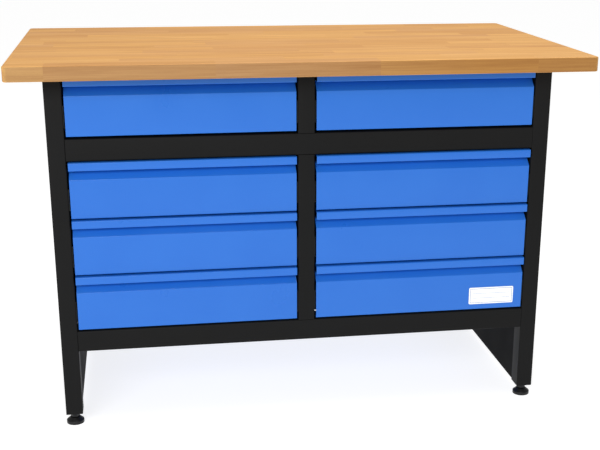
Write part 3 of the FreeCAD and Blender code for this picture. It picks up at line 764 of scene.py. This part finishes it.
def plate_outline(inset, depth):
    radius = PLATE_CORNER - inset
    points = []
    for x_sign, z_sign, start in ((1, 1, 0), (-1, 1, 90), (-1, -1, 180), (1, -1, 270)):
        edge_x = LABEL_HIGH.x if x_sign > 0 else LABEL_LOW.x
        edge_z = LABEL_HIGH.z if z_sign > 0 else LABEL_LOW.z
        for step in range(PLATE_STEPS + 1):
            angle = math.radians(start + 90 * step / PLATE_STEPS)
            points.append((edge_x - x_sign * PLATE_CORNER + radius * math.cos(angle), depth,
                           edge_z - z_sign * PLATE_CORNER + radius * math.sin(angle)))
    return points


plate = bmesh.new()
rows = skin_rings(plate, [plate_outline(0, LABEL_HIGH.y), plate_outline(0, LABEL_LOW.y + PLATE_EASE),
                          plate_outline(PLATE_EASE, LABEL_LOW.y)])
plate.faces.new(rows[0])
plate.faces.new(rows[-1])
new_piece("write_on_label", plate, label_white, "label_plate")
print("label plate:", round((LABEL_HIGH.x - LABEL_LOW.x) / MM), "mm wide")

# %% [markdown]
# ## Foot pads
# A pad is moulded in one shot, so it is a turned shape: a rim that rests on the floor, a
# cone, and a socket for the stem. Its profile is turned about the foot's own axis. Small
# chamfers at the rim and the socket's mouth stand for the mould's rounded corners.

# %% Foot pads
PAD_SEGMENTS = 64
PAD_CHAMFER = 0.6 * MM
PAD_TOP_RADIUS = 11 * MM
PAD_RIM = 7 * MM
SOCKET_RADIUS = 5.05 * MM
SOCKET_FLOOR = 4 * MM


def turned(profile, axis_x, axis_y, segments):
    """Turn a profile of (radius, height) about an upright axis; radius 0 closes a pole."""
    shape = bmesh.new()
    rings = []
    for radius, level in profile:
        ring = []
        for i in range(segments):
            angle = 2 * math.pi * i / segments
            ring.append((axis_x + radius * math.cos(angle), axis_y + radius * math.sin(angle), level))
        rings.append(ring)
    skin_rings(shape, rings)
    bmesh.ops.remove_doubles(shape, verts=shape.verts, dist=SAME_POINT)
    return shape


pads = sorted(name for name in nodes if name.endswith("_foot_pad"))
for name in pads:
    low, high = (Vector(corner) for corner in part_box(name))
    middle = (low + high) / 2
    rim = (high.x - low.x) / 2
    top = high.z
    pad_profile = [
        (0, low.z),
        (rim - PAD_CHAMFER, low.z),
        (rim - 0.2 * PAD_CHAMFER, low.z + 0.2 * PAD_CHAMFER),
        (rim, low.z + PAD_CHAMFER),
        (rim, low.z + PAD_RIM - PAD_CHAMFER),
        (rim - 0.25 * PAD_CHAMFER, low.z + PAD_RIM - 0.2 * PAD_CHAMFER),
        (rim - PAD_CHAMFER, low.z + PAD_RIM + 0.4 * PAD_CHAMFER),
        (PAD_TOP_RADIUS + 0.4 * PAD_CHAMFER, top - 0.8 * PAD_CHAMFER),
        (PAD_TOP_RADIUS - 0.1 * PAD_CHAMFER, top - 0.2 * PAD_CHAMFER),
        (PAD_TOP_RADIUS - 0.8 * PAD_CHAMFER, top),
        (SOCKET_RADIUS + 0.5 * PAD_CHAMFER, top),
        (SOCKET_RADIUS, top - 0.5 * PAD_CHAMFER),
        (SOCKET_RADIUS, low.z + SOCKET_FLOOR),
        (0, low.z + SOCKET_FLOOR),
    ]
    new_piece(name + "_moulded", turned(pad_profile, middle.x, middle.y, PAD_SEGMENTS), nylon, name)
print("pads:", len(pads), "each", round(2 * rim / MM, 1), "mm across")

# %% [markdown]
# ## Threaded stems
# The stem is a coarse M10 screw with a hexagon to turn it by. The thread is one surface whose
# radius rises and falls once per 1.5 mm pitch, and once round it climbs by that pitch, which
# is what makes it a helix. It fades out at both ends, as a rolled thread does. The hexagon
# has its corners taken off by a cone at top and bottom.

# %% Threaded stems
STEM_RADIUS = 5 * MM
THREAD_PITCH = 1.5 * MM
THREAD_DEPTH = 0.85 * MM
THREAD_SEGMENTS = 24
ROWS_PER_PITCH = 6
PLAIN_FOOT = 9 * MM
HEX_LOW = 14.8 * MM
HEX_HIGH = 26.3 * MM
HEX_RADIUS = 9.8 * MM
HEX_CHAMFER = 0.9 * MM


def threaded_rod(shape, x, y, bottom, top, radius):
    """A closed rod with a helical thread above its plain foot."""
    rows = math.ceil((top - bottom) / THREAD_PITCH * ROWS_PER_PITCH)
    rings = []
    for row in range(rows + 1):
        level = bottom + (top - bottom) * row / rows
        fade = min(1.0, max(0.0, (level - bottom - PLAIN_FOOT) / THREAD_PITCH))
        chamfer = max(0.0, THREAD_DEPTH - (top - level))
        ring = []
        for i in range(THREAD_SEGMENTS):
            share = (level / THREAD_PITCH - i / THREAD_SEGMENTS) % 1
            groove = THREAD_DEPTH * fade * (1 - abs(2 * share - 1))
            reach = radius - max(groove, chamfer)
            angle = 2 * math.pi * i / THREAD_SEGMENTS
            ring.append((x + reach * math.cos(angle), y + reach * math.sin(angle), level))
        rings.append(ring)
    built = skin_rings(shape, rings)
    shape.faces.new(built[0])
    shape.faces.new(built[-1])


def hexagon(shape, x, y, low, high, radius, chamfer):
    """A hexagon with its flats across Y, chamfered above and below."""
    rings = []
    for level, reach in ((low, radius - chamfer), (low + 0.6 * chamfer, radius),
                         (high - 0.6 * chamfer, radius), (high, radius - chamfer)):
        ring = []
        for i in range(6):
            angle = math.radians(60 * i)
            ring.append((x + reach * math.cos(angle), y + reach * math.sin(angle), level))
        rings.append(ring)
    built = skin_rings(shape, rings)
    shape.faces.new(built[0])
    shape.faces.new(built[-1])


stems = sorted(name for name in nodes if name.endswith("_foot_stem"))
for name in stems:
    low, high = (Vector(corner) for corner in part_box(name))
    middle = (low + high) / 2
    shape = bmesh.new()
    threaded_rod(shape, middle.x, middle.y, low.z, high.z, STEM_RADIUS)
    hexagon(shape, middle.x, middle.y, HEX_LOW, HEX_HIGH, HEX_RADIUS, HEX_CHAMFER)
    piece = new_piece(name + "_threaded", shape, dark_steel, name)
turns = (high.z - low.z - PLAIN_FOOT) / THREAD_PITCH
print("stems:", len(stems), "turns of thread on each:", round(turns))

# %% [markdown]
# ## Screws, by Geometry Nodes
# Ten screws hold the board and twelve hold the back sheet. One screw is modelled once, with a
# pan head and a cross recess, and a node tree sets it on points. The points are the middles
# of the screws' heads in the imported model. Each screw stops at its own angle when it is
# driven home, so the tree turns every one by a random amount with a fixed seed.

# %% One screw
HEAD_RADIUS = 5 * MM
HEAD_HEIGHT = 2.4 * MM
SCREW_SEGMENTS = 24
RECESS_WIDTH = 1.2 * MM
RECESS_REACH = 2.6 * MM
RECESS_DEPTH = 1.4 * MM
RIDGE_PITCH = 1.4 * MM
RIDGE_RISE = 0.45 * MM
CORE_SHARE = 0.72


def screw_mesh(name, shank_radius, length, into):
    """A screw whose head rests at the origin and whose shank points along into."""
    profile = [(0, -HEAD_HEIGHT)]
    for share in (0.35, 0.6, 0.8, 0.93, 1.0):
        profile.append((HEAD_RADIUS * share, -HEAD_HEIGHT * (1 - 0.75 * share ** 4)))
    profile += [(HEAD_RADIUS, 0), (shank_radius, 0)]
    ridges = round((length - 2 * shank_radius) / RIDGE_PITCH)
    for ridge in range(ridges):
        start = (length - 2 * shank_radius) * (ridge + 0.3) / ridges
        profile += [(CORE_SHARE * shank_radius, start), (shank_radius, start + RIDGE_RISE)]
    profile += [(CORE_SHARE * shank_radius, length - 2 * shank_radius), (0, length)]
    solid = turned(profile, 0, 0, SCREW_SEGMENTS)
    bmesh.ops.recalc_face_normals(solid, faces=solid.faces)
    body = bpy.data.meshes.new(name)
    solid.to_mesh(body)
    solid.free()
    cutter = bmesh.new()
    for wide, deep in ((RECESS_REACH, RECESS_WIDTH / 2), (RECESS_WIDTH / 2, RECESS_REACH)):
        box = Matrix.Diagonal((2 * wide, 2 * deep, 2 * RECESS_DEPTH, 1))
        bmesh.ops.create_cube(cutter, size=1, matrix=Matrix.Translation((0, 0, -HEAD_HEIGHT)) @ box)
    blade = bpy.data.meshes.new(name + "_blade")
    cutter.to_mesh(blade)
    cutter.free()
    screw = bpy.data.objects.new(name, body)
    driver = bpy.data.objects.new(name + "_blade", blade)
    for item in (screw, driver):
        bpy.context.scene.collection.objects.link(item)
    cut = screw.modifiers.new("recess", "BOOLEAN")
    cut.object = driver
    cut.solver = "EXACT"
    cut.use_self = True
    bpy.context.view_layer.update()
    made = bpy.data.meshes.new_from_object(screw.evaluated_get(bpy.context.evaluated_depsgraph_get()))
    made.transform(Vector((0, 0, 1)).rotation_difference(Vector(into)).to_matrix().to_4x4())
    for item in (screw, driver):
        bpy.data.objects.remove(item)
    return made


def loose_boxes(name):
    """The box of every separate solid in a CAD node."""
    shape = bmesh.new()
    shape.from_mesh(nodes[name].data)
    bmesh.ops.remove_doubles(shape, verts=shape.verts, dist=LARGEST_COPY_GAP)
    waiting = set(shape.verts)
    boxes = []
    while waiting:
        reached = [waiting.pop()]
        solid = list(reached)
        while reached:
            for edge in reached.pop().link_edges:
                for vertex in edge.verts:
                    if vertex in waiting:
                        waiting.remove(vertex)
                        reached.append(vertex)
                        solid.append(vertex)
        low = Vector([min(vertex.co[i] for vertex in solid) for i in range(3)])
        high = Vector([max(vertex.co[i] for vertex in solid) for i in range(3)])
        boxes.append((low, high))
    shape.free()
    return sorted(boxes, key=lambda pair: tuple(round(value, 4) for value in pair[0]))


# %% [markdown]
# The tree has one input for the screw, one for the axis that it may spin about and one for
# the seed. It sets a screw on every point, makes the copies real and gives them their
# finish, because the export keeps only real meshes.

# %% Tree that sets screws on points
SPIN_SEED = 7


def node_group(name, sockets):
    """An empty Geometry Nodes tree; sockets are (name, kind, default) inputs."""
    tree = bpy.data.node_groups.new(name, "GeometryNodeTree")
    tree.interface.new_socket("Geometry", in_out="INPUT", socket_type="NodeSocketGeometry")
    for socket_name, kind, default in sockets:
        socket = tree.interface.new_socket(socket_name, in_out="INPUT", socket_type=kind)
        if default is not None:
            socket.default_value = default
    tree.interface.new_socket("Geometry", in_out="OUTPUT", socket_type="NodeSocketGeometry")
    return tree, add(tree, "NodeGroupInput").outputs, add(tree, "NodeGroupOutput")


screw_tree, given, result = node_group("screws_on_points", [
    ("Screw", "NodeSocketObject", None),
    ("Spin axis", "NodeSocketVector", (0.0, 0.0, 1.0)),
    ("Seed", "NodeSocketInt", SPIN_SEED),
    ("Finish", "NodeSocketMaterial", None),
])
template = add(screw_tree, "GeometryNodeObjectInfo", {"Object": given["Screw"]})
angle = add(screw_tree, "FunctionNodeRandomValue", {"Seed": given["Seed"]}, data_type="FLOAT")
angle.inputs[3].default_value = math.pi / 2
spin = add(screw_tree, "ShaderNodeVectorMath", {0: given["Spin axis"]}, operation="SCALE")
screw_tree.links.new(angle.outputs[1], spin.inputs["Scale"])
placed = add(screw_tree, "GeometryNodeInstanceOnPoints", {
    "Points": given["Geometry"], "Instance": template.outputs["Geometry"], "Rotation": spin.outputs[0]})
real = add(screw_tree, "GeometryNodeRealizeInstances", {"Geometry": placed.outputs[0]})
finished = add(screw_tree, "GeometryNodeSetMaterial",
               {"Geometry": real.outputs[0], "Material": given["Finish"]})
screw_tree.links.new(finished.outputs[0], result.inputs[0])


def grown_mesh(name, start_mesh, tree, values):
    """Run a tree on a mesh with named input values and return the result as a plain mesh."""
    holder = bpy.data.objects.new(name, start_mesh)
    bpy.context.scene.collection.objects.link(holder)
    modifier = holder.modifiers.new(name, "NODES")
    modifier.node_group = tree
    for item in tree.interface.items_tree:
        if item.in_out == "INPUT" and item.name in values:
            modifier[item.identifier] = values[item.name]
    bpy.context.view_layer.update()
    made = bpy.data.meshes.new_from_object(holder.evaluated_get(bpy.context.evaluated_depsgraph_get()))
    made.name = name
    bpy.data.objects.remove(holder)
    return made


# %% Screws in their places
def place_screws(node, shank_radius, length, into, head_end):
    """head_end picks the point of a screw's box where its head's underside rests."""
    points = bpy.data.meshes.new(node + "_points")
    points.from_pydata([head_end(low, high) for low, high in loose_boxes(node)], [], [])
    screw = screw_mesh(node + "_single", shank_radius, length, into)
    single = bpy.data.objects.new(node + "_single", screw)
    bpy.context.scene.collection.objects.link(single)
    axis = tuple(abs(value) for value in into)
    made = grown_mesh(node + "_driven", points, screw_tree,
                      {"Screw": single, "Spin axis": axis, "Seed": SPIN_SEED,
                       "Finish": FINISH[slot_of[node]]})
    bpy.data.objects.remove(single)
    piece = show_piece(node + "_driven", made, node)
    print(node, "faces:", len(piece.data.polygons))


def under_head_from_below(low, high):
    return ((low.x + high.x) / 2, (low.y + high.y) / 2, low.z + HEAD_HEIGHT)


def under_head_from_behind(low, high):
    return ((low.x + high.x) / 2, high.y - HEAD_HEIGHT, (low.z + high.z) / 2)


WOOD_SCREW = (2.5 * MM, 19.5 * MM)
PANEL_SCREW = (2.1 * MM, 9.0 * MM)
place_screws("worktop_screws", *WOOD_SCREW, (0, 0, 1), under_head_from_below)
place_screws("back_panel_screws", *PANEL_SCREW, (0, -1, 0), under_head_from_behind)

# %% [markdown]
# ## Ball races, by Geometry Nodes
# A full-extension slide has three members, and rows of steel balls roll between them. The
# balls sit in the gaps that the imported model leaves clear. Each row is drawn as one line,
# and the tree sets balls along it at even pitch. The rows between the outer and the middle
# member lie in the rear half, and those between the middle and the inner member in the
# front half, because that is where the members still overlap when the drawer is out.

# %% Ball races
BALL_RADIUS = 1.8 * MM
BALL_PITCH = 9 * MM
RACE_END = 12 * MM
OUTER_RACE = 1.9 * MM
INNER_RACE = 3.1 * MM
BALL_SEGMENTS = 10
BALL_RINGS = 6

race_tree, given, result = node_group("balls_in_races", [
    ("Pitch", "NodeSocketFloat", BALL_PITCH),
    ("Radius", "NodeSocketFloat", BALL_RADIUS),
    ("Finish", "NodeSocketMaterial", None),
])
lines = add(race_tree, "GeometryNodeMeshToCurve", {"Mesh": given["Geometry"]})
steps = add(race_tree, "GeometryNodeResampleCurve",
            {"Curve": lines.outputs[0], "Length": given["Pitch"]}, mode="LENGTH")
ball = add(race_tree, "GeometryNodeMeshUVSphere",
           {"Segments": BALL_SEGMENTS, "Rings": BALL_RINGS, "Radius": given["Radius"]})
set_on = add(race_tree, "GeometryNodeInstanceOnPoints",
             {"Points": steps.outputs[0], "Instance": ball.outputs[0]})
real = add(race_tree, "GeometryNodeRealizeInstances", {"Geometry": set_on.outputs[0]})
finished = add(race_tree, "GeometryNodeSetMaterial",
               {"Geometry": real.outputs[0], "Material": given["Finish"]})
race_tree.links.new(finished.outputs[0], result.inputs[0])

middles = sorted(name for name in nodes if name.endswith("_middle_slides"))
outer_members = loose_boxes("outer_slides")
for name in middles:
    inner_members = loose_boxes(name.replace("_middle_", "_inner_"))
    starts, rows_of_balls = [], []
    for (low, high), (inner_low, inner_high) in zip(loose_boxes(name), inner_members):
        centre = (low + high) / 2
        outer = min(outer_members, key=lambda pair: ((pair[0] + pair[1]) / 2 - centre).length)
        outer_x = (max(low.x, outer[0].x) + min(high.x, outer[1].x)) / 2
        inner_x = (max(low.x, inner_low.x) + min(high.x, inner_high.x)) / 2
        for z_sign in (-1, 1):
            outer_z = centre.z + z_sign * ((high.z - low.z) / 2 + OUTER_RACE)
            inner_z = centre.z + z_sign * ((high.z - low.z) / 2 - INNER_RACE)
            rows_of_balls.append(((outer_x, centre.y, outer_z), (outer_x, high.y - RACE_END, outer_z)))
            rows_of_balls.append(((inner_x, low.y + RACE_END, inner_z), (inner_x, centre.y, inner_z)))
    for row in rows_of_balls:
        starts += row
    lines_mesh = bpy.data.meshes.new(name + "_lines")
    lines_mesh.from_pydata(starts, [(i, i + 1) for i in range(0, len(starts), 2)], [])
    made = grown_mesh(name.replace("middle_slides", "balls"), lines_mesh, race_tree,
                      {"Pitch": BALL_PITCH, "Radius": BALL_RADIUS, "Finish": zinc})
    made.shade_smooth()
    balls = bpy.data.objects.new(made.name, made)
    bpy.context.scene.collection.objects.link(balls)
    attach(balls, body_of[name])
print("rows of balls on each pair of slides:", len(rows_of_balls), "faces:", len(balls.data.polygons))

# %% [markdown]
# ## Finish
# The visual model has to fill the same box as the imported one. This last cell only brings
# the scene up to date.

# %% Finish
bpy.context.view_layer.update()
